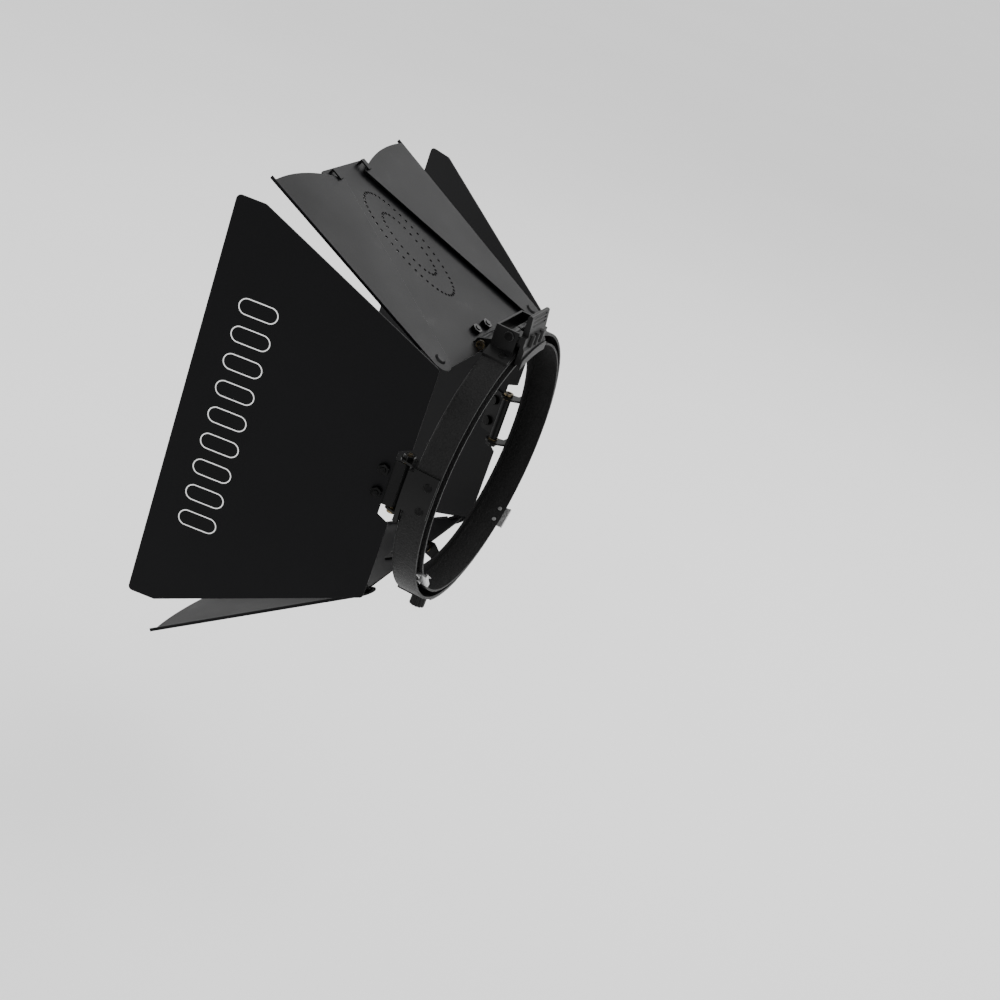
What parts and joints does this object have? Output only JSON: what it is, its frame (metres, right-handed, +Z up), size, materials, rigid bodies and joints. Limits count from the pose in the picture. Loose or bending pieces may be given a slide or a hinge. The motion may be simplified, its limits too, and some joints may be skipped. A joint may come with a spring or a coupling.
{
  "type": "barn door attachment",
  "caption": "Barn door attachment for a round stage light: a ring with hinged side doors and top and bottom doors that each carry two pivoting fan wings, held to the light's rim by a sprung latch.",
  "frame": {"origin": "centre of the bore that takes the light's barrel, on the plane where the barrel enters the ring", "axes": "+Z up, +Y along the bore towards the light, the doors face -Y, +X to the light's left"},
  "size_m": [0.2124, 0.1432, 0.2592],
  "materials": {
    "door_paint": "fine-textured matt black paint on both faces",
    "leaf_paint": "matt black paint, worn lighter on the knuckle",
    "ring_paint": "crinkle-textured black powder coat",
    "bracket_paint": "satin black paint, bare metal showing on bent edges",
    "black_plastic": "moulded black nylon",
    "pad_plastic": "natural nylon",
    "spring_steel": "dark drawn spring wire",
    "bright_steel": "zinc-plated steel",
    "plated_steel": "yellowish zinc plate",
    "black_steel": "black oxide"
  },
  "bodies": {
    "ring": {"ring_band": "ring_paint", "inner_collar": "ring_paint", "collar_rivets": "black_steel", "top_bracket": "bracket_paint", "bottom_bracket": "bracket_paint", "left_bracket": "bracket_paint", "right_bracket": "bracket_paint", "top_hinge_pin": "plated_steel", "left_hinge_pin": "plated_steel", "bottom_hinge_pin": "plated_steel", "right_hinge_pin": "plated_steel", "hinge_nuts": "plated_steel", "friction_washers": "plated_steel", "latch_pin": "bright_steel", "latch_spring": "spring_steel", "lock_block": "bracket_paint", "rear_clip_left": "bright_steel", "rear_clip_right": "bright_steel", "clip_rivets": "black_steel", "bracket_rivets": "black_steel"},
    "left_door": {"left_door_panel": "door_paint", "left_door_leaf": "leaf_paint", "left_leaf_screws": "black_steel", "left_leaf_nuts": "black_steel"},
    "right_door": {"right_door_panel": "door_paint", "right_door_leaf": "leaf_paint", "right_leaf_screws": "black_steel", "right_leaf_nuts": "black_steel"},
    "top_door": {"top_door_panel": "door_paint", "top_door_leaf": "leaf_paint", "top_leaf_screws": "black_steel", "top_leaf_nuts": "black_steel", "top_wing_rivets": "black_steel", "top_wing_spacers": "black_steel"},
    "bottom_door": {"bottom_door_panel": "door_paint", "bottom_door_leaf": "leaf_paint", "bottom_leaf_screws": "black_steel", "bottom_leaf_nuts": "black_steel", "bottom_wing_rivets": "black_steel", "bottom_wing_spacers": "black_steel"},
    "top_wing_lower": {"top_wing_lower": "door_paint"},
    "top_wing_upper": {"top_wing_upper": "door_paint"},
    "bottom_wing_lower": {"bottom_wing_lower": "door_paint"},
    "bottom_wing_upper": {"bottom_wing_upper": "door_paint"},
    "latch": {"latch_lever": "black_plastic", "latch_claw": "bright_steel"},
    "lock": {"lock_screw": "black_plastic", "lock_pad": "pad_plastic"}
  },
  "joints": [
    {"name": "left_hinge", "type": "hinge", "parent": "ring", "child": "left_door", "pos_m": [0.0666, -0.024, 0], "axis": [0, 0, 1], "range_deg": [-7.7, 66.3]},
    {"name": "right_hinge", "type": "hinge", "parent": "ring", "child": "right_door", "pos_m": [-0.0666, -0.024, 0], "axis": [0, 0, -1], "range_deg": [-19.3, 54.7]},
    {"name": "top_hinge", "type": "hinge", "parent": "ring", "child": "top_door", "pos_m": [0, -0.024, 0.0666], "axis": [-1, 0, 0], "range_deg": [-56.3, 61.7]},
    {"name": "bottom_hinge", "type": "hinge", "parent": "ring", "child": "bottom_door", "pos_m": [0, -0.024, -0.0666], "axis": [1, 0, 0], "range_deg": [-64.3, 53.7]},
    {"name": "top_wing_lower_pivot", "type": "hinge", "parent": "top_door", "child": "top_wing_lower", "pos_m": [0.0605, -0.02736, 0.06826], "axis": [0, 0.4431, 0.8965], "range_deg": [-21, 8]},
    {"name": "top_wing_upper_pivot", "type": "hinge", "parent": "top_door", "child": "top_wing_upper", "pos_m": [-0.0605, -0.02736, 0.06826], "axis": [0, -0.4431, -0.8965], "range_deg": [-21, 8]},
    {"name": "bottom_wing_lower_pivot", "type": "hinge", "parent": "bottom_door", "child": "bottom_wing_lower", "pos_m": [-0.0605, -0.0271, -0.06871], "axis": [0, 0.5635, -0.8261], "range_deg": [-28, 1]},
    {"name": "bottom_wing_upper_pivot", "type": "hinge", "parent": "bottom_door", "child": "bottom_wing_upper", "pos_m": [0.0605, -0.0271, -0.06871], "axis": [0, -0.5635, 0.8261], "range_deg": [-28, 1]},
    {"name": "latch_pivot", "type": "hinge", "parent": "ring", "child": "latch", "pos_m": [0.01145, -0.0075, 0.0823], "axis": [1, 0, 0], "range_deg": [0, 20], "stiffness_Nm_per_rad": 0.08, "springref_deg": -20.05},
    {"name": "lock_travel", "type": "slide", "parent": "ring", "child": "lock", "axis": [0.1149, 0, -0.9934], "range_m": [-0.0002, 0.001]}
  ]
}
